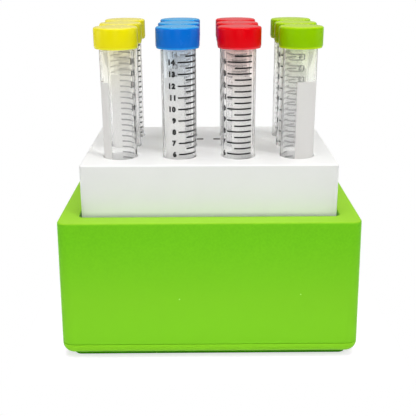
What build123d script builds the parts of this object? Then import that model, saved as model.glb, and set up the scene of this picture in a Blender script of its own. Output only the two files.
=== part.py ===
from build123d import *
import math
import os

# A bench-top cooling rack: an open foam box, a white gel-filled block that stands in it, and
# twelve 15 mL conical tubes with screw caps that stand in the block's wells.
# Millimetres and degrees. The origin is on the bench, under the middle of the box.
# +X is to the right, +Y to the back and +Z up.

# ---- Tube: a clear conical centrifuge tube ---------------------------------------------------
tube_length = 118.5
body_radius = 8.6            # outside
tube_wall = 1.05
cone_length = 22.0
tip_radius = 2.9             # outside, at the flat end of the cone
tip_thickness = 1.3
neck_length = 10.0           # the part that carries the thread, under the cap
neck_step = 0.4              # how much thinner the neck is than the body

# ---- Cap: a flat-topped screw cap ------------------------------------------------------------
cap_height = 10.4
cap_wall = 1.9
cap_top_thickness = 1.4
thread_space = 0.95          # between the neck and the bore of the cap
cap_edge = 0.8               # bevel round the top
lip_height = 1.0             # narrower band round the open end
lip_step = 0.25
seal_length = 1.8            # ring inside the cap that plugs the tube's mouth
seal_wall = 0.9
seal_clearance = 0.15

# ---- Grid of tubes ---------------------------------------------------------------------------
column_names = ["yellow", "blue", "red", "green"]    # left to right
row_names = ["front", "middle", "back"]
column_gap = 8.75            # between neighbouring caps, left to right
row_gap = 1.2                # between neighbouring caps, front to back

# ---- Block: a white moulded shell with hanging wells -----------------------------------------
block_height = 88.0
side_margin = 19.0           # outer column's axis to the side of the block's top
front_margin = 20.6          # front row's axis to the front of the block's top
block_draft = 0.4            # the sides lean out downwards
block_corner_radius = 1.6
block_edge_radius = 0.8
shell_wall = 2.5
shell_inner_radius = 1.5
well_depth = 54.0
well_clearance = 0.3         # between a tube and its well, all round
well_wall = 1.5
well_lead_in = 0.5           # bevel at the mouth of a well
slot_length = 3.7            # two shallow slots in the top of the block
slot_width = 1.0
slot_depth = 0.8
slot_offset = 4.8            # from the middle, to left and right

# ---- Bottom plate, filling plug and gel ------------------------------------------------------
plate_thickness = 2.5
spigot_height = 2.0          # raised centre that locates the plate in the shell
spigot_clearance = 0.2
plug_radius = 7.0
plug_head_radius = 9.5
plug_head_thickness = 1.2
plug_clearance = 0.1
gel_clearance = 0.3
gel_headspace = 4.0          # room for the gel to swell as it freezes

# ---- Base: an open box of moulded foam -------------------------------------------------------
base_wall = 9.9
floor_thickness = 12.3
cavity_depth = 61.3
cavity_side_clearance = 1.0  # at the foot of the block, left and right
cavity_front_clearance = 0.75
cavity_corner_radius = 3.0
base_draft = 1.3             # the sides lean out downwards to the parting line
base_corner_radius = 5.0
rim_edge_radius = 1.0
mouth_edge = 0.3
parting_height = 8.7         # parting line of the mould, above the bench
parting_groove = 0.35
lower_edge_radius = 5.5
foot_height = 2.2
foot_inset = 4.0
foot_corner_radius = 4.0

# ---- Working values --------------------------------------------------------------------------
cut_past = 1.0               # how far a cut runs past the face it opens
level_tolerance = 0.01       # within this, an edge counts as lying at a height
fillet_share = 0.95          # the most that a fillet takes of the room it has

# ---- Places worked out from the sizes above --------------------------------------------------
neck_radius = body_radius - neck_step
bore_radius = body_radius - tube_wall
cap_radius = neck_radius + thread_space + cap_wall

column_pitch = 2 * cap_radius + column_gap
row_pitch = 2 * cap_radius + row_gap
column_places = [column_pitch * (i - (len(column_names) - 1) / 2) for i in range(len(column_names))]
row_places = [row_pitch * (j - (len(row_names) - 1) / 2) for j in range(len(row_names))]

block_width = column_places[-1] - column_places[0] + 2 * side_margin
block_depth = row_places[-1] - row_places[0] + 2 * front_margin
block_lean = math.tan(math.radians(block_draft))
block_foot_width = block_width + 2 * block_height * block_lean
block_foot_depth = block_depth + 2 * block_height * block_lean

block_bottom = foot_height + floor_thickness
block_top = block_bottom + block_height
rim = block_bottom + cavity_depth
well_floor = block_top - well_depth
cap_bottom = well_floor + tube_length + cap_top_thickness - cap_height

cavity_width = block_foot_width + 2 * cavity_side_clearance
cavity_depth_across = block_foot_depth + 2 * cavity_front_clearance
base_width = cavity_width + 2 * base_wall
base_depth = cavity_depth_across + 2 * base_wall

UPWARDS = (Align.CENTER, Align.CENTER, Align.MIN)


def drafted_box(width, depth, corner, height, draft=0.0):
    """Box with round upright corners, of the given size at its top, wider downwards by the draft."""
    lean = height * math.tan(math.radians(draft))
    foot = RectangleRounded(width + 2 * lean, depth + 2 * lean, corner + lean)
    return extrude(foot, amount=height, taper=draft)


def turned(points):
    """Solid of revolution about Z of a closed outline of (radius, height) points."""
    outline = make_face(Polyline(*points, close=True))
    return revolve(Plane.XZ * outline, Axis.Z)


def slab_edges(solid, height):
    """Edges of a solid that lie in the level plane at the given height."""
    return solid.edges().filter_by_position(Axis.Z, height - level_tolerance, height + level_tolerance)


# ---- Tube and cap ----------------------------------------------------------------------------
def tube():
    """Clear tube, its tip on the origin."""
    neck_foot = tube_length - neck_length
    inner_tip = tip_radius + (body_radius - tip_radius) * tip_thickness / cone_length - tube_wall
    outside = [
        (0, 0),
        (tip_radius, 0),
        (body_radius, cone_length),
        (body_radius, neck_foot),
        (neck_radius, neck_foot),
        (neck_radius, tube_length),
    ]
    inside = [
        (bore_radius, tube_length),
        (bore_radius, cone_length),
        (inner_tip, tip_thickness),
        (0, tip_thickness),
    ]
    return turned(outside + inside)


def cap():
    """Screw cap, its open end on the origin."""
    seal_radius = bore_radius - seal_clearance
    roof = cap_height - cap_top_thickness
    lip_radius = cap_radius - lip_step
    outline = [
        (neck_radius + thread_space, 0),
        (lip_radius, 0),
        (lip_radius, lip_height),
        (cap_radius, lip_height + lip_step),
        (cap_radius, cap_height - cap_edge),
        (cap_radius - cap_edge, cap_height),
        (0, cap_height),
        (0, roof),
        (seal_radius - seal_wall, roof),
        (seal_radius - seal_wall, roof - seal_length),
        (seal_radius, roof - seal_length),
        (seal_radius, roof),
        (neck_radius + thread_space, roof),
    ]
    return turned(outline)


# ---- Block -----------------------------------------------------------------------------------
def well(extra):
    """Space of one well, its floor on the origin, grown all round by extra."""
    reach = well_clearance + extra
    return turned([
        (0, -extra),
        (tip_radius + reach, -extra),
        (body_radius + reach, cone_length),
        (body_radius + reach, well_depth),
        (0, well_depth),
    ])


def in_each_well(shape):
    """Copies of a shape, one on the floor of each well."""
    return [Pos(x, y, well_floor) * shape for x in column_places for y in row_places]


def block_inside(clearance):
    """Room inside the shell above the bottom plate, smaller by a clearance."""
    height = block_height - plate_thickness - shell_wall
    room = drafted_box(
        block_width - 2 * shell_wall - 2 * clearance,
        block_depth - 2 * shell_wall - 2 * clearance,
        shell_inner_radius,
        height,
        block_draft,
    )
    return Pos(0, 0, block_bottom + plate_thickness) * room


def rack_shell():
    """White shell, open below, with a closed conical well under each hole."""
    outside = drafted_box(block_width, block_depth, block_corner_radius, block_height, block_draft)
    outside = Pos(0, 0, block_bottom) * outside
    outside = fillet(slab_edges(outside, block_top), block_edge_radius)
    room_width = block_foot_width + 2 * cut_past
    room_depth = block_foot_depth + 2 * cut_past
    plate_room = Box(room_width, room_depth, plate_thickness, align=UPWARDS)
    outside -= Pos(0, 0, block_bottom) * plate_room
    shell = outside - block_inside(0)
    shell += in_each_well(well(well_wall))
    mouth_radius = body_radius + well_clearance
    mouth = Cone(mouth_radius, mouth_radius + well_lead_in, well_lead_in, align=UPWARDS)
    shell -= in_each_well(well(0)) + in_each_well(Pos(0, 0, well_depth - well_lead_in) * mouth)
    slot = Box(slot_length, slot_width, 2 * slot_depth)
    slot_line = (row_places[-1] + row_places[-2]) / 2
    for side in (-1, 1):
        shell -= Pos(side * slot_offset, slot_line, block_top) * slot
    return shell


def rack_bottom_plate():
    """Plate that closes the shell, with a raised centre and a stepped hole for the plug."""
    lean = (block_height - plate_thickness) * block_lean
    plate = drafted_box(
        block_width + 2 * lean,
        block_depth + 2 * lean,
        block_corner_radius + lean,
        plate_thickness,
        block_draft,
    )
    spigot = RectangleRounded(
        block_width + 2 * lean - 2 * shell_wall - 2 * spigot_clearance - 2 * spigot_height * block_lean,
        block_depth + 2 * lean - 2 * shell_wall - 2 * spigot_clearance - 2 * spigot_height * block_lean,
        shell_inner_radius + lean,
    )
    plate += Pos(0, 0, plate_thickness) * extrude(spigot, amount=spigot_height)
    hole_radius = plug_radius + plug_clearance
    head_room = plug_head_radius + plug_clearance
    plate -= Cylinder(hole_radius, plate_thickness + spigot_height, align=UPWARDS)
    plate -= Cylinder(head_room, plug_head_thickness, align=UPWARDS)
    return Pos(0, 0, block_bottom) * plate


def fill_plug():
    """Plug pressed up into the bottom plate's hole after the gel is poured."""
    plug = turned([
        (0, 0),
        (plug_head_radius, 0),
        (plug_head_radius, plug_head_thickness),
        (plug_radius, plug_head_thickness),
        (plug_radius, plate_thickness + spigot_height),
        (0, plate_thickness + spigot_height),
    ])
    return Pos(0, 0, block_bottom) * plug


def coolant_gel():
    """Gel that fills the shell round the wells, up to a headspace under its top."""
    fill_bottom = block_bottom + plate_thickness + spigot_height
    fill_top = block_top - shell_wall - gel_headspace
    level = Box(block_foot_width, block_foot_depth, fill_top - fill_bottom, align=UPWARDS)
    fill = block_inside(gel_clearance) & Pos(0, 0, fill_bottom) * level
    return fill - in_each_well(well(well_wall + gel_clearance))


# ---- Base ------------------------------------------------------------------------------------
def insulated_base():
    """Green foam box: drafted sides, rounded foot, a plinth, and a pocket for the block."""
    lean = (rim - parting_height) * math.tan(math.radians(base_draft))
    width = base_width + 2 * lean
    depth = base_depth + 2 * lean
    corner = base_corner_radius + lean
    upper = drafted_box(base_width, base_depth, base_corner_radius, rim - parting_height, base_draft)
    upper = Pos(0, 0, parting_height) * upper
    upper = fillet(slab_edges(upper, rim), rim_edge_radius)
    lower = Pos(0, 0, foot_height) * drafted_box(width, depth, corner, parting_height - foot_height)
    lower_room = min(corner, parting_height - foot_height)
    lower_radius = min(lower_edge_radius, fillet_share * lower_room)
    lower = fillet(slab_edges(lower, foot_height), lower_radius)
    foot_width = base_width - 2 * foot_inset
    foot_depth = base_depth - 2 * foot_inset
    foot = drafted_box(foot_width, foot_depth, foot_corner_radius, foot_height)
    base = upper + lower + foot

    groove = RectangleRounded(width + 2 * cut_past, depth + 2 * cut_past, corner + cut_past)
    groove -= RectangleRounded(
        width - 2 * parting_groove,
        depth - 2 * parting_groove,
        corner - parting_groove,
    )
    base -= Pos(0, 0, parting_height - parting_groove) * extrude(groove, amount=parting_groove)

    pocket = drafted_box(cavity_width, cavity_depth_across, cavity_corner_radius, cavity_depth)
    base -= Pos(0, 0, block_bottom) * pocket
    half_width = cavity_width / 2 + level_tolerance
    half_depth = cavity_depth_across / 2 + level_tolerance
    mouth = [
        edge for edge in slab_edges(base, rim)
        if abs(edge.center().X) <= half_width and abs(edge.center().Y) <= half_depth
    ]
    return chamfer(mouth, mouth_edge)


def main():
    os.makedirs("parts", exist_ok=True)
    pieces = {
        "insulated_base": insulated_base(),
        "rack_shell": rack_shell(),
        "rack_bottom_plate": rack_bottom_plate(),
        "fill_plug": fill_plug(),
        "coolant_gel": coolant_gel(),
    }
    one_tube = tube()
    one_cap = cap()
    for column, x in zip(column_names, column_places):
        for row, y in zip(row_names, row_places):
            pieces[f"tube_{column}_{row}"] = Pos(x, y, well_floor) * one_tube
            pieces[f"cap_{column}_{row}"] = Pos(x, y, cap_bottom) * one_cap
    for name, piece in pieces.items():
        export_step(piece, f"parts/{name}.step")


main()
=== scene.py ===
# %% [markdown]
# # A cooling rack for capped tubes
#
# A white plastic block, filled with a cooling gel, stands in an open box of green foam. Twelve
# clear conical tubes stand in its wells, four colours of screw cap by three rows. The solids of
# all these pieces are already made and packed, so this script dresses them: it gives the box,
# the block and what is inside them their finish, moulds the tubes and caps again with the fine
# edges that they really have, and prints the scales on the tubes.

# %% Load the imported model
import math

import bpy
from mathutils import Matrix, Vector


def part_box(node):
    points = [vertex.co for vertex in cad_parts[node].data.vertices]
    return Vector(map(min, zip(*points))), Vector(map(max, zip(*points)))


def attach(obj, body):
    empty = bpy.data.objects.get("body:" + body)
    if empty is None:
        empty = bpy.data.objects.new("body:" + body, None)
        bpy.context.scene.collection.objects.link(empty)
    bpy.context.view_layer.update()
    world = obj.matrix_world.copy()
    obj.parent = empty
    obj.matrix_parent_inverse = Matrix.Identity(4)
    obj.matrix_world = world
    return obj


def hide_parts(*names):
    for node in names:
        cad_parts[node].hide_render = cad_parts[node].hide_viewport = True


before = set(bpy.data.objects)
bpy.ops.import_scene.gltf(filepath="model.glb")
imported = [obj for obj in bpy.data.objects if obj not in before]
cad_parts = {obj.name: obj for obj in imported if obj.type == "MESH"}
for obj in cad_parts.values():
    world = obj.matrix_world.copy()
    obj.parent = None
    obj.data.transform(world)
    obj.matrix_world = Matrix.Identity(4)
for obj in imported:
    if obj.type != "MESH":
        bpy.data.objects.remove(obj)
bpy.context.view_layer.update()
bpy.ops.object.select_all(action="DESELECT")

# %% [markdown]
# ## Sizes
#
# Blender works in metres and a tube is a thing of millimetres, so `MM` turns one into the other.
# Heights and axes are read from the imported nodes, so nothing is placed by hand. What the solids
# leave out, such as the rounding of an edge or the thickness of the ink, is named further on,
# where it is first needed. Every size is in millimetres unless its line says otherwise.

# %% Sizes shared by several pieces
MM = 0.001
COLOURS = ["yellow", "blue", "red", "green"]
ROWS = ["front", "middle", "back"]


def axis_of(colour, row):
    """Point on the bench, in millimetres, under one tube's axis."""
    low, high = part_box(f"tube_{colour}_{row}")
    return Vector(((low[0] + high[0]) / 2, (low[1] + high[1]) / 2, 0)) / MM


tube_low, tube_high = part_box("tube_blue_front")
cap_low, cap_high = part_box("cap_blue_front")
tube_foot = tube_low[2] / MM
tube_mouth = tube_high[2] / MM
tube_radius = (tube_high[0] - tube_low[0]) / 2 / MM
cap_foot = cap_low[2] / MM
cap_top = cap_high[2] / MM
cap_radius = (cap_high[0] - cap_low[0]) / 2 / MM
block_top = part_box("rack_shell")[1][2] / MM
print("tube", round(tube_radius * 2, 2), "mm across; cap", round(cap_radius * 2, 2), "mm across")

# %% [markdown]
# ## An outline with rounded corners
#
# Tubes and caps are turned shapes. The outline of one is a few corners in radius and height, and
# each corner of a moulded piece has a small rounding. Writing the corners and their roundings,
# and working out the arcs, keeps the list as short as the drawing of the real piece.

# %% Work out the arcs of an outline
ARC_STEPS = 4


def rounded_outline(corners):
    """Points (radius, height) of an outline of corners (radius, height, rounding)."""
    points = []
    for number, (radius, height, rounding) in enumerate(corners):
        corner = Vector((radius, height, 0))
        if rounding == 0:
            points.append(corner)
            continue
        back = (Vector((*corners[number - 1][:2], 0)) - corner).normalized()
        ahead = (Vector((*corners[number + 1][:2], 0)) - corner).normalized()
        half_angle = back.angle(ahead) / 2
        centre = corner + (back + ahead).normalized() * rounding / math.sin(half_angle)
        reach = rounding / math.tan(half_angle)
        start = (corner + back * reach - centre).normalized()
        end = (corner + ahead * reach - centre).normalized()
        for step in range(ARC_STEPS + 1):
            points.append(centre + start.slerp(end, step / ARC_STEPS) * rounding)
    return points


# %% [markdown]
# ## Turning a shape with extrude and resize
#
# A turned piece starts as a disc. The disc is extruded to the next height and resized to the next
# radius, over and over, up the outside, over the lip and down the inside, so the wall has two
# faces and a real thickness. Spin would do the same from a drawn outline, but then the seam and
# the poles must be merged afterwards, and here nothing is left open.

# %% Turn an outline about the Z axis
SMOOTH_ANGLE = math.radians(32)


def finish_mesh(name):
    """Ends the edit: outward normals, soft shading on gentle edges, place kept in the mesh."""
    bpy.ops.mesh.select_all(action="SELECT")
    bpy.ops.mesh.normals_make_consistent(inside=False)
    bpy.ops.object.mode_set(mode="OBJECT")
    bpy.ops.object.transform_apply(location=True, rotation=True, scale=True)
    bpy.ops.object.shade_smooth_by_angle(angle=SMOOTH_ANGLE)
    piece = bpy.context.object
    piece.name = name
    piece.data.name = name
    piece.select_set(False)
    return piece


def turned(name, outline, sides):
    """Closed piece turned about Z, from a disc taken through the points of its outline."""
    radius, height = outline[0][:2]
    bpy.ops.mesh.primitive_circle_add(
        vertices=sides, radius=radius * MM, fill_type="NGON", location=(0, 0, height * MM)
    )
    bpy.ops.object.mode_set(mode="EDIT")
    for point in outline[1:]:
        rise = (point[1] - height) * MM
        bpy.ops.mesh.extrude_region_move(TRANSFORM_OT_translate={"value": (0, 0, rise)})
        share = point[0] / radius
        radius, height = point[:2]
        bpy.ops.transform.resize(value=(share, share, 1), center_override=(0, 0, height * MM))
    return finish_mesh(name)


# %% [markdown]
# ## One master, many copies
#
# Twelve tubes come from one mould, and so do twelve caps. Each is modelled once on the Z axis and
# copied to its place. Linked copies would share one mesh, but a finished piece keeps its place in
# its own mesh, so every copy gets a mesh of its own.

# %% Copy a piece to its place
def placed_copy(master, name, place):
    """Copy of a piece with its own mesh, moved to a place in millimetres."""
    copy = master.copy()
    copy.data = master.data.copy()
    copy.name = name
    copy.data.name = name
    bpy.context.scene.collection.objects.link(copy)
    copy.data.transform(Matrix.Translation(place * MM))
    return copy


# %% [markdown]
# ## Shader maths in plain Python
#
# A material is a graph of small nodes. `Wire` holds one output of that graph, and its operators
# add a Math node each, so a mask can be written as `1 - mask * 0.3`. Every other kind of node is
# made by its one method, `node`, which sets the node's settings first and then its sockets.

# %% A wire of a material
class Wire:
    """One output socket of a material, or its bare tree, that Python operators can build on."""

    def __init__(self, tree, socket=None):
        self.tree = tree
        self.socket = socket

    def node(self, kind, settings=None, sockets=None, output=0):
        """Adds a shader node and gives back one of its outputs."""
        made = self.tree.nodes.new("ShaderNode" + kind)
        for name, value in (settings or {}).items():
            setattr(made, name, value)
        for name, value in (sockets or {}).items():
            entry = made.inputs[name]
            if isinstance(value, Wire):
                self.tree.links.new(value.socket, entry)
            else:
                entry.default_value = value
        return Wire(self.tree, made.outputs[output] if made.outputs else None)

    def maths(self, operation, first, second=0):
        """Math node of one or two numbers or wires."""
        return self.node("Math", {"operation": operation}, {0: first, 1: second})

    def __add__(self, other):
        return self.maths("ADD", self, other)

    def __sub__(self, other):
        return self.maths("SUBTRACT", self, other)

    def __rsub__(self, other):
        return self.maths("SUBTRACT", other, self)

    def __mul__(self, other):
        return self.maths("MULTIPLY", self, other)

    def __gt__(self, other):
        return self.maths("GREATER_THAN", self, other)

    def __lt__(self, other):
        return self.maths("LESS_THAN", self, other)

    def __abs__(self):
        return self.maths("ABSOLUTE", self)

    __radd__ = __add__
    __rmul__ = __mul__


# %% [markdown]
# ## Wires that many materials need
#
# A place on the object, the way the surface faces, a soft noise and a mix of two colours turn up
# in nearly every finish, so each has a short function. Places are read as Object coordinates,
# because every finished piece stands at the origin: a pattern then stays where it is on the
# piece. Patterns are solid noises rather than painted images, so they need no seams.

# %% Start and end a material
def new_material(name):
    """Empty material and the wire that its nodes are built on."""
    material = bpy.data.materials.new(name)
    material.use_nodes = True
    material.node_tree.nodes.clear()
    return material, Wire(material.node_tree)


def plastic(wire, sockets):
    """Ends a material in one Principled surface."""
    surface = wire.node("BsdfPrincipled", {}, sockets)
    wire.node("OutputMaterial", {}, {"Surface": surface})


# %% Places, shares and colours
def along(wire, axis):
    """Place on the object along X, Y or Z, in metres."""
    place = wire.node("TexCoord", output="Object")
    return wire.node("SeparateXYZ", {}, {"Vector": place}, output=axis)


def facing_up(wire):
    """1 where the surface faces straight up, 0 where it is upright."""
    facing = wire.node("NewGeometry", output="Normal")
    return wire.node("SeparateXYZ", {}, {"Vector": facing}, output="Z")


def grows(wire, value, start, end):
    """Share that grows from 0 where the value is at start to 1 where it is at end."""
    return wire.node("MapRange", {}, {"Value": value, "From Min": start, "From Max": end})


def blend_colours(wire, share, first, second):
    """Mix node between two colours: the first where share is 0, the second where it is 1."""
    mix = {"data_type": "RGBA"}
    return wire.node("Mix", mix, {0: share, 6: first, 7: second}, output=2)


def darker(colour, share):
    """The same colour with this share of its light."""
    return tuple(channel * share for channel in colour[:3]) + (1,)


# %% Patterns and bumps
def noise(wire, size, detail=2.0):
    """Soft random pattern whose blotches are about this many millimetres across."""
    place = wire.node("TexCoord", output="Object")
    scale = 1 / (size * MM)
    return wire.node("TexNoise", {}, {"Vector": place, "Scale": scale, "Detail": detail})


def bump(wire, height, depth):
    """Normal of a surface whose bumps are this many millimetres high."""
    return wire.node("Bump", {}, {"Height": height, "Distance": depth * MM, "Strength": 1.0})


# %% [markdown]
# ## Green foam
#
# The box is moulded from closed-cell foam beads. From a step away it is an even, matte green. Up
# close it has a fine orange-peel skin, very slightly mottled, and here and there a bead that
# took less colour. Light is painted into the colour too: the sides are painted paler towards the
# bench, most of all below the parting line, as painted light thrown up from the bench; the rim is
# painted paler as painted top light; and the foot is painted darker as painted shade under the box.
# Heights are on the object itself, so a step in colour is only a comparison with a height.

# %% Colours of the foam
FOAM_GREEN = (0.148, 0.545, 0.0050, 1)
FOAM_PALE = (0.190, 0.620, 0.0085, 1)
# Painted light: the rim colour is painted top light, the low and band colours painted light from the bench,
# the foot colour painted shade.
FOAM_PAINTED_TOP_LIGHT = (0.285, 0.585, 0.022, 1)
FOAM_PAINTED_BOUNCE = (0.203, 0.580, 0.012, 1)
FOAM_PAINTED_BAND_BOUNCE = (0.250, 0.640, 0.014, 1)
FOAM_PAINTED_FOOT_SHADE = (0.080, 0.405, 0.002, 1)
FOOT_SHADE_TOP = 2.3        # above the bench, as the three below it
BAND_BOUNCE_TOP = 8.6
BOUNCE_FULL_HEIGHT = 34
BOUNCE_TOP_HEIGHT = 66
FOAM_GRAIN = 1.1
GRAIN_DARK = 0.3           # the noise's own range
GRAIN_LIGHT = 0.7
RIM_TURN_START = 0.2       # how far the skin faces up, from 0 to 1
RIM_TURN_END = 0.9


def foam_colour(wire, mottle):
    """Two mottled greens, with painted top light on the rim, painted bench light low and painted foot
    shade.
    """
    grain = grows(wire, noise(wire, FOAM_GRAIN, 1.0), GRAIN_DARK, GRAIN_LIGHT)
    green = blend_colours(wire, (mottle + grain) * 0.5, FOAM_GREEN, FOAM_PALE)
    # Painted top light on the rim, painted bounce light low on the sides and in the band, painted shade on
    # the foot.
    top_light_share = grows(wire, facing_up(wire), RIM_TURN_START, RIM_TURN_END)
    green = blend_colours(wire, top_light_share, green, FOAM_PAINTED_TOP_LIGHT)
    height = along(wire, "Z")
    lower = grows(wire, height, BOUNCE_TOP_HEIGHT * MM, BOUNCE_FULL_HEIGHT * MM)
    green = blend_colours(wire, lower, green, FOAM_PAINTED_BOUNCE)
    green = blend_colours(wire, height < BAND_BOUNCE_TOP * MM, green, FOAM_PAINTED_BAND_BOUNCE)
    return blend_colours(wire, height < FOOT_SHADE_TOP * MM, green, FOAM_PAINTED_FOOT_SHADE)


# %% [markdown]
# ## Pale beads and the foam's skin
#
# The rare pale beads are Voronoi cells of which only a few, picked by each cell's random colour,
# are let through. The skin is a bump of two noises, one as fine as the orange peel and one as
# large as the beads. Foam has no real gloss, but its open skin catches light at a glance, so a
# weak sheen pales its rim and its rounded corners.

# %% Foam material
FOAM_SPECK = (0.42, 0.78, 0.14, 1)
SPECK_REACH = 0.16         # of a bead
SPECK_CHANCE = 0.007       # share of the beads
FOAM_BEAD = 2.6
FOAM_MOTTLE = 5.0
FOAM_SKIN = 0.45
FOAM_SKIN_DEPTH = 0.035
FOAM_SHEEN = 0.55
FOAM_SHEEN_TINT = (0.85, 1.0, 0.62, 1)


def pale_beads(wire):
    """1 on the few beads that took less colour."""
    place = wire.node("TexCoord", output="Object")
    cells = {"Vector": place, "Scale": 1 / (FOAM_BEAD * MM)}
    near = wire.node("TexVoronoi", {}, cells)
    pick = wire.node("TexVoronoi", {}, cells, output="Color")
    chance = wire.node("SeparateColor", {}, {"Color": pick})
    return (near < SPECK_REACH) * (chance > 1 - SPECK_CHANCE)


def foam():
    """Matte moulded foam."""
    material, wire = new_material("foam_green")
    mottle = noise(wire, FOAM_MOTTLE, 4.0)
    colour = blend_colours(wire, pale_beads(wire), foam_colour(wire, mottle), FOAM_SPECK)
    skin = noise(wire, FOAM_SKIN, 3.0) * 0.7 + noise(wire, FOAM_BEAD, 1.0)
    plastic(wire, {
        "Base Color": colour,
        "Roughness": 0.62 + mottle * 0.12,
        "Normal": bump(wire, skin, FOAM_SKIN_DEPTH),
        "Specular IOR Level": 0.12,
        "Sheen Weight": FOAM_SHEEN,
        "Sheen Roughness": 0.3,
        "Sheen Tint": FOAM_SHEEN_TINT,
    })
    return material


# %% [markdown]
# ## White plastic
#
# The block, the plate under it and the plug are moulded plastic with a satin skin. Its gloss
# changes a little from place to place, as on any large moulding, so a broad noise drives the
# roughness and a fine one the bump. The two slots in the block's top and a strip round them get a
# painted shade, as dark as the inside of a deeper slot, and a mask from the place on the block
# puts it there. The slots are the same left and right of the middle, so one mask of the distance
# from the middle serves both.

# %% Painted shade in the slots of the block
SLOT_LINE = 11.65          # behind the middle of the block
SLOT_REACH = 1.8
SLOT_START = 2.85          # left and right of the middle
SLOT_END = 6.75
SLOT_DEPTH = 2             # down from the block's top
# Painted shade: the dark inside of the slots, painted on and round them.
SLOT_PAINTED_SHADE = (0.075, 0.062, 0.052, 1)


def in_slots(wire):
    """1 in and just round the two slots."""
    aside = abs(along(wire, "X"))
    off_line = abs(along(wire, "Y") - SLOT_LINE * MM)
    in_slot = (aside > SLOT_START * MM) * (aside < SLOT_END * MM) * (off_line < SLOT_REACH * MM)
    return in_slot * (along(wire, "Z") > (block_top - SLOT_DEPTH) * MM)


# %% Moulded plastic material
MOULD_CLOUD = 14.0
MOULD_GRAIN = 0.5
MOULD_GRAIN_DEPTH = 0.006


def moulded(name, colour, roughness, shaded_slots=False):
    """Satin moulded plastic of one colour."""
    material, wire = new_material(name)
    cloud = noise(wire, MOULD_CLOUD)
    paint = blend_colours(wire, cloud, darker(colour, 0.96), colour)
    # Painted shade in and round the two slots.
    if shaded_slots:
        paint = blend_colours(wire, in_slots(wire), paint, SLOT_PAINTED_SHADE)
    plastic(wire, {
        "Base Color": paint,
        "Roughness": roughness + cloud * 0.1,
        "Normal": bump(wire, noise(wire, MOULD_GRAIN, 3.0), MOULD_GRAIN_DEPTH),
        "IOR": 1.49,
    })
    return material


# %% [markdown]
# ## Cap plastic
#
# The caps are glossier than the block and moulded in strong colours. The tops get a paler
# painted colour, a painted reflection of the light from above, which takes over as the surface
# turns to face up. The thin lip at the open end gets a brighter painted colour, a painted
# highlight along its edge.

# %% Colours of the caps
CAP_COLOURS = {
    "yellow": (0.960, 0.850, 0.001, 1),
    "blue": (0.000, 0.173, 0.730, 1),
    "red": (0.866, 0.000, 0.005, 1),
    "green": (0.303, 0.634, 0.000, 1),
}
# Painted reflection of the light above, on the caps' tops.
CAP_PAINTED_TOP_REFLECTION = {
    "yellow": (0.734, 0.652, 0.091, 1),
    "blue": (0.009, 0.308, 0.632, 1),
    "red": (0.668, 0.000, 0.004, 1),
    "green": (0.401, 0.584, 0.000, 1),
}
# Painted highlight along the caps' lips.
CAP_PAINTED_LIP_HIGHLIGHT = {
    "yellow": (0.980, 0.930, 0.030, 1),
    "blue": (0.010, 0.310, 0.900, 1),
    "red": (0.960, 0.040, 0.060, 1),
    "green": (0.560, 0.840, 0.010, 1),
}
CAP_GLOSS = {"yellow": 0.18, "blue": 0.18, "red": 0.12, "green": 0.07}
CAP_CLOUD = 5.0
CAP_GRAIN = 0.8
CAP_GRAIN_DEPTH = 0.003
TOP_TURN_START = 0.3       # how far the plastic faces up, from 0 to 1
TOP_TURN_END = 0.95
LIP_SHINE_HEIGHT = 0.95    # up from the open end


# %% Cap material
def cap_plastic(colour):
    """Semi-gloss cap plastic."""
    material, wire = new_material(f"cap_{colour}")
    cloud = noise(wire, CAP_CLOUD)
    full = CAP_COLOURS[colour]
    # Painted highlight on the lip and painted reflection on the top.
    lip_highlight_share = along(wire, "Z") < (cap_foot + LIP_SHINE_HEIGHT) * MM
    top_reflection_share = grows(wire, facing_up(wire), TOP_TURN_START, TOP_TURN_END)
    skirt = blend_colours(wire, cloud, darker(full, 0.97), full)
    skirt = blend_colours(wire, lip_highlight_share, skirt, CAP_PAINTED_LIP_HIGHLIGHT[colour])
    plastic(wire, {
        "Base Color": blend_colours(wire, top_reflection_share, skirt, CAP_PAINTED_TOP_REFLECTION[colour]),
        "Roughness": 0.22 + cloud * 0.08,
        "Normal": bump(wire, noise(wire, CAP_GRAIN), CAP_GRAIN_DEPTH),
        "Specular IOR Level": CAP_GLOSS[colour],
    })
    return material


# %% [markdown]
# ## Clear tube plastic
# A tube is real geometry with two faces to its wall, so a refracting surface gives the bright
# and dark bands along its sides by itself. A refracting surface stops the lamps, though, and the
# wells would turn black, so rays on their way to a lamp pass through a Transparent shader
# instead, slightly grey because each wall takes some light. With the plastic's own index of 1.49
# walls as thin as these turn dark and busy, so a lower one is used, and a small share of the
# surface is milky. Just under a cap the wall gets a painted tint, painted light of the cap's
# colour thrown on it, which fades out down the tube.

# %% Clear materials
CLEAR_DULL = (0.965, 0.965, 0.962, 1)
CLEAR_BRIGHT = (0.995, 0.995, 0.992, 1)
CLEAR_TO_LAMPS = (0.985, 0.985, 0.985, 1)
# Painted light: the tint that each cap's colour throws on the wall just under it.
CAP_PAINTED_LIGHT_TINT = {
    "yellow": (0.985, 0.965, 0.850, 1),
    "blue": (0.890, 0.945, 0.990, 1),
    "red": (0.985, 0.880, 0.850, 1),
    "green": (0.955, 0.980, 0.850, 1),
}
CAP_TINT_REACH = 34.0          # under the cap
CLEAR_HAZE = 3.0
CLEAR_INDEX = 1.14
CLEAR_SHARE = 0.88         # the rest is milky


def split(wire, share, first, second):
    """Mix Shader: the first surface where share is 0, the second where it is 1."""
    return wire.node("MixShader", {}, {0: share, 1: first, 2: second})


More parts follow.
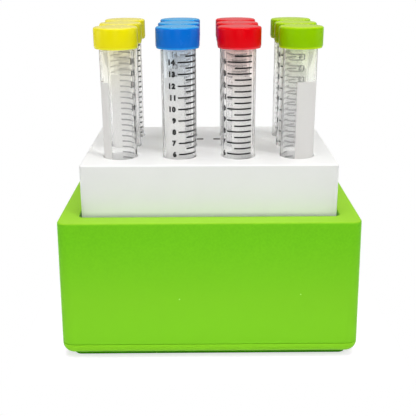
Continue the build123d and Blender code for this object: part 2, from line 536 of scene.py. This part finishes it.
def clear_plastic(colour):
    """Clear polished plastic that lets lamps through, with painted light of this colour under the cap."""
    material, wire = new_material(f"tube_clear_{colour}")
    haze = noise(wire, CLEAR_HAZE)
    # Painted tint of the cap's light, strongest just under the cap.
    cap_tint_share = grows(wire, along(wire, "Z"), (cap_foot - CAP_TINT_REACH) * MM, cap_foot * MM)
    plain = blend_colours(wire, haze, CLEAR_DULL, CLEAR_BRIGHT)
    glass = wire.node("BsdfPrincipled", {}, {
        "Base Color": blend_colours(wire, cap_tint_share * cap_tint_share, plain, CAP_PAINTED_LIGHT_TINT[colour]),
        "Roughness": 0.02 + haze * 0.03,
        "IOR": CLEAR_INDEX,
        "Transmission Weight": CLEAR_SHARE,
    })
    passing = wire.node("BsdfTransparent", {}, {"Color": CLEAR_TO_LAMPS})
    to_lamp = wire.node("LightPath", output="Is Shadow Ray")
    wire.node("OutputMaterial", {}, {"Surface": split(wire, to_lamp, glass, passing)})
    return material


# %% [markdown]
# ## Ink, write-on patch and gel
#
# The scale is printed in black ink with a slightly uneven edge of gloss. The patch for writing
# on is a white ink, rougher, and thin enough for some light to shine through from behind. The gel
# inside the block is hidden, and is given its blue for anyone who takes the block apart. A dye in
# the gel would be a volume, but a surface with some subsurface light looks as deep and is quick.

# %% Print materials
INK_DARK = (0.004, 0.004, 0.004, 1)
INK_WORN = (0.010, 0.010, 0.011, 1)
INK_WEAR = 0.6
PATCH_DULL = (0.900, 0.890, 0.870, 1)
PATCH_BRIGHT = (0.940, 0.930, 0.910, 1)
PATCH_SHINE = (0.95, 0.94, 0.93, 1)
PATCH_GRAIN = 0.5
PATCH_THROUGH = 0.3        # share of the light that the patch lets through


def ink():
    """Black printing ink."""
    material, wire = new_material("scale_ink")
    wear = noise(wire, INK_WEAR)
    plastic(wire, {
        "Base Color": blend_colours(wire, wear, INK_DARK, INK_WORN),
        "Roughness": 0.40 + wear * 0.2,
        "Specular IOR Level": 0.25,
    })
    return material


def write_on():
    """White ink for writing on."""
    material, wire = new_material("write_on_white")
    grain = noise(wire, PATCH_GRAIN)
    white = wire.node("BsdfPrincipled", {}, {
        "Base Color": blend_colours(wire, grain, PATCH_DULL, PATCH_BRIGHT),
        "Roughness": 0.55 + grain * 0.15,
    })
    shining_through = wire.node("BsdfTranslucent", {}, {"Color": PATCH_SHINE})
    surface = split(wire, PATCH_THROUGH, white, shining_through)
    wire.node("OutputMaterial", {}, {"Surface": surface})
    return material


# %% Gel material
GEL_DEEP = (0.28, 0.52, 0.74, 1)
GEL_PALE = (0.36, 0.62, 0.82, 1)
GEL_CLOUD = 10.0
GEL_RADIUS = (0.006, 0.010, 0.014)   # metres that red, green and blue light go in


def gel():
    """Set cooling gel."""
    material, wire = new_material("gel_blue")
    cloud = noise(wire, GEL_CLOUD)
    plastic(wire, {
        "Base Color": blend_colours(wire, cloud, GEL_DEEP, GEL_PALE),
        "Roughness": 0.12 + cloud * 0.08,
        "Subsurface Weight": 0.4,
        "Subsurface Radius": GEL_RADIUS,
        "Subsurface Scale": 1.0,
    })
    return material


# %% [markdown]
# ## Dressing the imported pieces
#
# The box, the block, its plate, its plug and the gel have the right shapes as they are packed, so
# they keep their meshes. They could be modelled again, but then two files would hold one shape.
# Only their material is changed.

# %% Give the carried-over nodes their materials
SHELL_WHITE = (0.86, 0.86, 0.85, 1)
PLATE_WHITE = (0.82, 0.82, 0.81, 1)
PLUG_GREY = (0.55, 0.55, 0.55, 1)


def dress(node, material):
    """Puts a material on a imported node."""
    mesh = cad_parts[node].data
    mesh.materials.clear()
    mesh.materials.append(material)
    print(node, "wears", material.name, "of", len(material.node_tree.nodes), "nodes")


dress("insulated_base", foam())
dress("rack_shell", moulded("shell_white", SHELL_WHITE, 0.36, shaded_slots=True))
dress("rack_bottom_plate", moulded("plate_white", PLATE_WHITE, 0.45))
dress("fill_plug", moulded("plug_grey", PLUG_GREY, 0.40))
dress("coolant_gel", gel())

# %% [markdown]
# ## Tubes
#
# A conical tube is moulded thin and has a small flat tip, a cone, a straight body and a slightly
# thinner neck for the thread. Its corners are soft, because the plastic is, so the cone runs into
# the body through a rounding and the mouth has a round lip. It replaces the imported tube, whose
# corners are sharp, and it stands in exactly the same place.

# %% Draw the outline of a tube
TUBE_WALL = 1.05
TIP_RADIUS = 2.9
TIP_THICKNESS = 1.3
TIP_ROUNDING = 0.5
CONE_LENGTH = 22.0
CONE_ROUNDING = 6.0
NECK_LENGTH = 10.0
NECK_STEP = 0.4
NECK_ROUNDING = 0.15
MOUTH_ROUNDING = 0.3


def tube_outline():
    """Corners of the tube from its tip up the outside and down the inside."""
    neck_foot = tube_mouth - NECK_LENGTH
    neck_radius = tube_radius - NECK_STEP
    bore = tube_radius - TUBE_WALL
    cone_top = tube_foot + CONE_LENGTH
    slope = (tube_radius - TIP_RADIUS) / CONE_LENGTH
    inner_tip = TIP_RADIUS + slope * TIP_THICKNESS - TUBE_WALL
    return rounded_outline([
        (TIP_RADIUS / 2, tube_foot, 0),
        (TIP_RADIUS, tube_foot, TIP_ROUNDING),
        (tube_radius, cone_top, CONE_ROUNDING),
        (tube_radius, neck_foot, NECK_ROUNDING),
        (neck_radius, neck_foot, NECK_ROUNDING),
        (neck_radius, tube_mouth, MOUTH_ROUNDING),
        (bore, tube_mouth, MOUTH_ROUNDING),
        (bore, cone_top, CONE_ROUNDING),
        (inner_tip, tube_foot + TIP_THICKNESS, TIP_ROUNDING),
        (inner_tip / 2, tube_foot + TIP_THICKNESS, 0),
    ])


# %% Mould the tubes
TUBE_SIDES = 96

master_tube = turned("master_tube", tube_outline(), TUBE_SIDES)
for colour in COLOURS:
    clear = clear_plastic(colour)
    for row in ROWS:
        tube = placed_copy(master_tube, f"clear_tube_{colour}_{row}", axis_of(colour, row))
        tube.data.materials.append(clear)
        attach(tube, "rack")
        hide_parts(f"tube_{colour}_{row}")
print("tube faces:", len(master_tube.data.polygons))
bpy.data.objects.remove(master_tube)

# %% [markdown]
# ## Caps
#
# A screw cap is a short cup, upside down. Its top edge is well rounded, a narrow band round its
# open end is a little smaller, and inside, a thin ring plugs the mouth of the tube. Each cap
# rides on a body of its own, because it unscrews, while its tube stays with the rack.

# %% Draw the outline of a cap
CAP_WALL = 1.9
CAP_TOP = 1.4
CAP_EDGE = 1.0
LIP_HEIGHT = 1.1
LIP_STEP = 0.22
LIP_SLOPE = 0.15
LIP_ROUNDING = 0.35
ROOF_ROUNDING = 0.3
SEAL_LENGTH = 1.8
SEAL_WALL = 0.9
SEAL_CLEARANCE = 0.15
SEAL_ROUNDING = 0.25


def cap_outline():
    """Corners of the cap from the middle of its top, down the outside and up the inside."""
    bore = cap_radius - CAP_WALL
    lip = cap_radius - LIP_STEP
    roof = cap_top - CAP_TOP
    seal = tube_radius - TUBE_WALL - SEAL_CLEARANCE
    return rounded_outline([
        (cap_radius / 2, cap_top, 0),
        (cap_radius, cap_top, CAP_EDGE),
        (cap_radius, cap_foot + LIP_HEIGHT, 0.12),
        (lip, cap_foot + LIP_HEIGHT - LIP_SLOPE, 0.08),
        (lip, cap_foot, LIP_ROUNDING),
        (bore, cap_foot, LIP_ROUNDING),
        (bore, roof, ROOF_ROUNDING),
        (seal, roof, 0),
        (seal, roof - SEAL_LENGTH, SEAL_ROUNDING),
        (seal - SEAL_WALL, roof - SEAL_LENGTH, SEAL_ROUNDING),
        (seal - SEAL_WALL, roof, 0.2),
        (seal / 2, roof, 0),
    ])


# %% Mould the caps
CAP_SIDES = 128

master_cap = turned("master_cap", cap_outline(), CAP_SIDES)
for colour in COLOURS:
    plastic_of_cap = cap_plastic(colour)
    for row in ROWS:
        cap = placed_copy(master_cap, f"moulded_cap_{colour}_{row}", axis_of(colour, row))
        cap.data.materials.append(plastic_of_cap)
        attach(cap, f"screw_cap_{colour}_{row}")
        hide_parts(f"cap_{colour}_{row}")
print("cap faces:", len(master_cap.data.polygons))
bpy.data.objects.remove(master_cap)

# %% [markdown]
# ## Printed scale
#
# The scale is a film of ink a few hundredths of a millimetre thick. It is laid out flat, as on
# the printer's plate, with x along the wrap and z up the tube: a long line and a numeral at each
# millilitre, and a short line between. Then the whole plate is wrapped on the tube, and each
# tube gets its own copy, turned as the tube happens to stand.

# %% Where the lines lie
LINE_STEP = 5.845          # between two millilitre lines
SIX_LINE = 6               # the line that lies nearest above the block
SIX_LINE_HEIGHT = 2.49     # above the block
INK_GAP = 0.02             # between the tube and the film
PRINT_RADIUS = tube_radius + INK_GAP


def arc_length(degrees):
    """Millimetres round the tube."""
    return math.radians(degrees) * PRINT_RADIUS


def line_height(millilitres):
    """Height of a volume's line, in millimetres."""
    return block_top + SIX_LINE_HEIGHT + (millilitres - SIX_LINE) * LINE_STEP


# %% A line of the scale
def flat_strip(start, end, middle, thickness, segments):
    """Upright flat strip from one angle to another, ready to be wrapped."""
    bpy.ops.mesh.primitive_grid_add(
        x_subdivisions=segments,
        y_subdivisions=1,
        size=MM,
        location=(arc_length((start + end) / 2) * MM, 0, middle * MM),
        rotation=(math.pi / 2, 0, 0),
    )
    strip = bpy.context.object
    strip.scale = (arc_length(end - start), thickness, 1)
    return strip


# %% A numeral of the scale
NUMERAL_END = -8.0         # degrees round the tube
NUMERAL_HEIGHT = 2.5
DIGIT_SHARE = 0.73         # height of a digit, of the font's size
NUMERAL_SPACING = 1.2
NUMERAL_BOLDER = 0.08      # of the font's size


def flat_numeral(value):
    """Upright flat numeral that ends just before its line."""
    bpy.ops.object.text_add()
    text = bpy.context.object
    # The font's own 6 tears when it is made bolder, so the 6 is a 9 turned over.
    text.data.body = str(value).replace("6", "9")
    text.data.size = NUMERAL_HEIGHT / DIGIT_SHARE * MM
    text.data.space_character = NUMERAL_SPACING
    text.data.offset = NUMERAL_BOLDER * text.data.size
    bpy.ops.object.convert(target="MESH")
    numeral = bpy.context.object
    bpy.ops.object.origin_set(type="ORIGIN_GEOMETRY", center="BOUNDS")
    width = numeral.dimensions.x / MM
    over = math.pi if value == 6 else 0
    numeral.rotation_euler = (math.pi / 2, over, 0)
    numeral.location = ((arc_length(NUMERAL_END) - width / 2) * MM, 0, line_height(value) * MM)
    return numeral


# %% Join a plate
def joined(pieces, name):
    """Joins flat pieces into one, with its place in its mesh."""
    for piece in pieces:
        piece.select_set(True)
    bpy.context.view_layer.objects.active = pieces[0]
    bpy.ops.object.transform_apply(location=True, rotation=True, scale=True)
    bpy.ops.object.join()
    plate = bpy.context.object
    plate.name = name
    plate.select_set(False)
    return plate


# %% Lay out the scale
LINE_THICKNESS = 0.78
LINE_END = 89.0            # degrees round the tube, as the two below it
LONG_START = 0.0
SHORT_START = 27.0
LINE_SEGMENTS = 14
HALVES = range(2, 30)      # half millilitres that have a line
WHOLES = range(1, 15)      # millilitres that have a numeral

lines = []
for half in HALVES:
    start = LONG_START if half % 2 == 0 else SHORT_START
    lines.append(flat_strip(start, LINE_END, line_height(half / 2), LINE_THICKNESS, LINE_SEGMENTS))
numerals = [flat_numeral(value) for value in WHOLES]
scale_plate = joined(lines + numerals, "scale_plate")
print("scale plate:", len(scale_plate.data.polygons), "faces")

# %% Lay out the write-on patch
PATCH_START = 160.5        # degrees round the tube, as the end
PATCH_END = 245.0
PATCH_TOP_LINE = 12.3      # millilitres, as the foot
PATCH_FOOT_LINE = 2
PATCH_SEGMENTS = 30

patch_top = line_height(PATCH_TOP_LINE)
patch_foot = line_height(PATCH_FOOT_LINE)
patch_middle = (patch_top + patch_foot) / 2
patch = flat_strip(PATCH_START, PATCH_END, patch_middle, patch_top - patch_foot, PATCH_SEGMENTS)
patch_plate = joined([patch], "patch_plate")
print("patch:", round(arc_length(PATCH_END - PATCH_START), 1), "by", round(patch_top - patch_foot, 1), "mm")

# %% [markdown]
# ## Wrap the print on a tube
#
# A Simple Deform modifier could bend the plate, but its bend depends on the plate's own length.
# Wrapping is one formula: the distance along the plate becomes an angle round the axis. A
# Solidify modifier then gives the film its thickness. The tubes stand turned as they were
# dropped in, so each print has its own turn.

# %% Wrap one print
INK_DEPTH = 0.03


def wrap(film, turn, axis):
    """Bends a flat film round a tube's axis and gives it its thickness."""
    for vertex in film.data.vertices:
        angle = vertex.co.x / (PRINT_RADIUS * MM) + math.radians(turn)
        vertex.co.x = PRINT_RADIUS * MM * math.sin(angle) + axis.x * MM
        vertex.co.y = -PRINT_RADIUS * MM * math.cos(angle) + axis.y * MM
    solidify = film.modifiers.new("film", "SOLIDIFY")
    solidify.thickness = INK_DEPTH * MM
    solidify.offset = 1
    bpy.context.view_layer.objects.active = film
    bpy.ops.object.modifier_apply(modifier=solidify.name)


# %% Print all tubes
TURNS = {
    "yellow_front": 90, "yellow_middle": 157, "yellow_back": -17,
    "blue_front": 0, "blue_middle": 4, "blue_back": -9,
    "red_front": -44, "red_middle": -50, "red_back": -44,
    "green_front": 186, "green_middle": -62, "green_back": 150,
}

plates = [(scale_plate, "scale_print", ink()), (patch_plate, "write_on_patch", write_on())]
for colour in COLOURS:
    for row in ROWS:
        for plate, word, finish in plates:
            film = placed_copy(plate, f"{word}_{colour}_{row}", Vector((0, 0, 0)))
            wrap(film, TURNS[f"{colour}_{row}"], axis_of(colour, row))
            film.data.materials.clear()
            film.data.materials.append(finish)
            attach(film, "rack")
for plate, word, finish in plates:
    bpy.data.objects.remove(plate)
print("tubes printed:", len(TURNS))

# %% [markdown]
# ## Floor
#
# The rack stands on a plain white floor. What lights the rack and what is seen behind it are set
# apart by the kind of ray. Rays that carry light meet a plain white paint. The camera, also
# through a clear wall or in a gloss, sees a floor that keeps the soft shadow round the foot, and
# the shadow fades out to pure white paper a little way out from the box.

# %% Surfaces by the kind of ray
WHITE = (1, 1, 1, 1)


def on_rays(wire, *kinds):
    """1 on rays of any of these kinds, and 0 on all others."""
    share = 0
    for kind in kinds:
        share = wire.maths("MAXIMUM", share, wire.node("LightPath", output=f"Is {kind} Ray"))
    return share


def glow(wire, strength):
    """White surface that gives its own light."""
    return wire.node("Emission", {}, {"Color": WHITE, "Strength": strength})


def staged(name, material):
    """Names the plane just added and paints it."""
    plane = bpy.context.object
    plane.name = name
    plane.data.materials.append(material)
    print(name, "is", [round(side, 2) for side in plane.dimensions], "m")


# %% Lay the floor
STAGE_SIZE = 2.4           # metres
FLOOR_DEPTH = 0.0002       # metres under the foot
FLOOR_PAINT = (0.80, 0.80, 0.80, 1)
SEEN_PAINT = (0.60, 0.48, 0.66, 1)
SEEN_GLOW = 0.67
SHADOW_END = 24            # out from the box

floor_white, wire = new_material("floor_white")
box_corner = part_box("insulated_base")[1]
beside = abs(along(wire, "X")) - box_corner[0]
before = abs(along(wire, "Y")) - box_corner[1]
fade = grows(wire, wire.maths("MAXIMUM", beside, before), 0.0, SHADOW_END * MM)
paint = wire.node("BsdfDiffuse", {}, {"Color": FLOOR_PAINT})
seen_paint = wire.node("BsdfDiffuse", {}, {"Color": SEEN_PAINT})
near_foot = wire.node("AddShader", {}, {0: seen_paint, 1: glow(wire, SEEN_GLOW)})
seen = split(wire, fade, near_foot, glow(wire, 1.0))
surface = split(wire, on_rays(wire, "Camera", "Glossy", "Transmission"), paint, seen)
wire.node("OutputMaterial", {}, {"Surface": surface})
bpy.ops.mesh.primitive_plane_add(size=STAGE_SIZE, location=(0, 0, -FLOOR_DEPTH))
staged("floor", floor_white)

# %% [markdown]
# ## Sweep and room
#
# Gloss needs something to show. A white sweep stands upright behind the rack, and only gloss
# sees it, so the tops shine and the room stays dim in front, where the fronts keep their full
# colour. The world gives a little grey light from all sides, and is pure white to the camera.

# %% Put up the sweep
SWEEP_PLACE = (0, 0.7, 0.6)          # metres
UPRIGHT = (math.pi / 2, 0, 0)
SWEEP_GLOSS = 0.50

sweep_white, wire = new_material("sweep_white")
clear_way = wire.node("BsdfTransparent", {}, {"Color": WHITE})
surface = split(wire, on_rays(wire, "Glossy"), clear_way, glow(wire, SWEEP_GLOSS))
wire.node("OutputMaterial", {}, {"Surface": surface})
bpy.ops.mesh.primitive_plane_add(size=STAGE_SIZE, location=SWEEP_PLACE, rotation=UPRIGHT)
staged("sweep", sweep_white)

# %% Fill the room
WORLD_LIGHT = 0.09
ROOM_GLOSS = 0.10


def background(wire, strength):
    """White light of one strength from all sides."""
    return wire.node("Background", {}, {"Color": WHITE, "Strength": strength})


world = bpy.data.worlds.new("studio")
world.use_nodes = True
world.node_tree.nodes.clear()
bpy.context.scene.world = world
wire = Wire(world.node_tree)
lit = split(wire, on_rays(wire, "Glossy"), background(wire, WORLD_LIGHT), background(wire, ROOM_GLOSS))
sky = split(wire, on_rays(wire, "Camera", "Transmission"), lit, background(wire, 1.0))
wire.node("OutputWorld", {}, {"Surface": sky})
print("world nodes:", len(world.node_tree.nodes))

# %% [markdown]
# ## Lamps
#
# Soft boxes light the rack. The key stands high on the right and the fill low on the left, a
# large one hangs above, and one stands straight in front. Two at the sides keep the edges of
# the tubes and the ends of the box clear. The last two stand in for light that a real bench and
# a real rim throw back: one lies flat before the box and shines up its front, and a narrow one
# lies on the rim and shines up the foot of the block. A brighter world would do the same job, but
# it would fill every shadow alike.

# %% A soft box
RACK_MIDDLE = Vector((0, 0, 0.08))   # metres, as all places of lamps


def soft_box(name, place, aim, sides, power):
    """Rectangular lamp of two sides that faces a point."""
    data = bpy.data.lights.new(name, "AREA")
    data.shape = "RECTANGLE"
    data.size, data.size_y = sides
    data.energy = power
    lamp = bpy.data.objects.new(name, data)
    bpy.context.scene.collection.objects.link(lamp)
    lamp.location = place
    lamp.visible_camera = False
    lamp.rotation_euler = (Vector(aim) - lamp.location).to_track_quat("-Z", "Y").to_euler()


# %% Light the rack
BOUNCE_FROM = Vector((-0.02, -0.115, 0.001))
RIM_FROM = Vector((0, -0.050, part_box("insulated_base")[1][2] + 0.0002))
UP = Vector((0, 0, 1))

soft_box("key_right", (0.70, -0.60, 0.95), RACK_MIDDLE, (0.40, 0.40), 3.6)
soft_box("fill_left", (-0.90, -0.75, 0.45), RACK_MIDDLE, (0.60, 0.60), 1.1)
soft_box("bounce_front", BOUNCE_FROM, BOUNCE_FROM + UP, (0.26, 0.10), 0.054)
soft_box("top_soft", (0.0, -0.10, 1.20), RACK_MIDDLE, (0.90, 0.90), 14.2)
soft_box("front_soft", (0.05, -1.20, 0.40), RACK_MIDDLE, (0.60, 0.40), 1.15)
soft_box("side_left", (-1.20, 0.0, 0.35), RACK_MIDDLE, (0.60, 0.60), 2.6)
soft_box("side_right", (1.20, 0.0, 0.35), RACK_MIDDLE, (0.60, 0.60), 1.6)
soft_box("rim_bounce", RIM_FROM, RIM_FROM + UP, (0.126, 0.008), 0.0021)
print("lamps:", len(bpy.data.lights))

# %% [markdown]
# ## Camera
#
# The camera stands in front of the rack and above it, so that the fronts and the tops both show.
# It could be aimed at a point, but then it couldn't roll, so its place and its three turns are
# written down: a yaw to the side, a dip towards the bench and a small roll. The lens is long
# enough to keep the tubes nearly parallel.

# %% Set up the camera
FOCAL_SHARE = 709.25 / 416         # focal length over the frame's width
SENSOR = 36.0                      # width of the sensor
NEAREST = 0.01                     # metres from which things are seen
CAMERA_PLACE = Vector((-2.503, -385.461, block_top + 97.158))
CAMERA_YAW = math.radians(0.308)
CAMERA_DIP = math.radians(19.31)
CAMERA_ROLL = math.radians(-0.238)

camera_data = bpy.data.cameras.new("camera")
camera_data.sensor_width = SENSOR
camera_data.lens = FOCAL_SHARE * SENSOR
camera_data.clip_start = NEAREST
camera = bpy.data.objects.new("camera", camera_data)
bpy.context.scene.collection.objects.link(camera)
aim = Matrix.Rotation(-CAMERA_YAW, 3, "Z") @ Matrix.Rotation(math.pi / 2 - CAMERA_DIP, 3, "X")
aim = aim @ Matrix.Rotation(CAMERA_ROLL, 3, "Z")
camera.rotation_euler = aim.to_euler()
camera.location = CAMERA_PLACE * MM
bpy.context.scene.camera = camera
bpy.context.scene.view_settings.view_transform = "Standard"
print("lens:", round(camera_data.lens, 1), "mm")
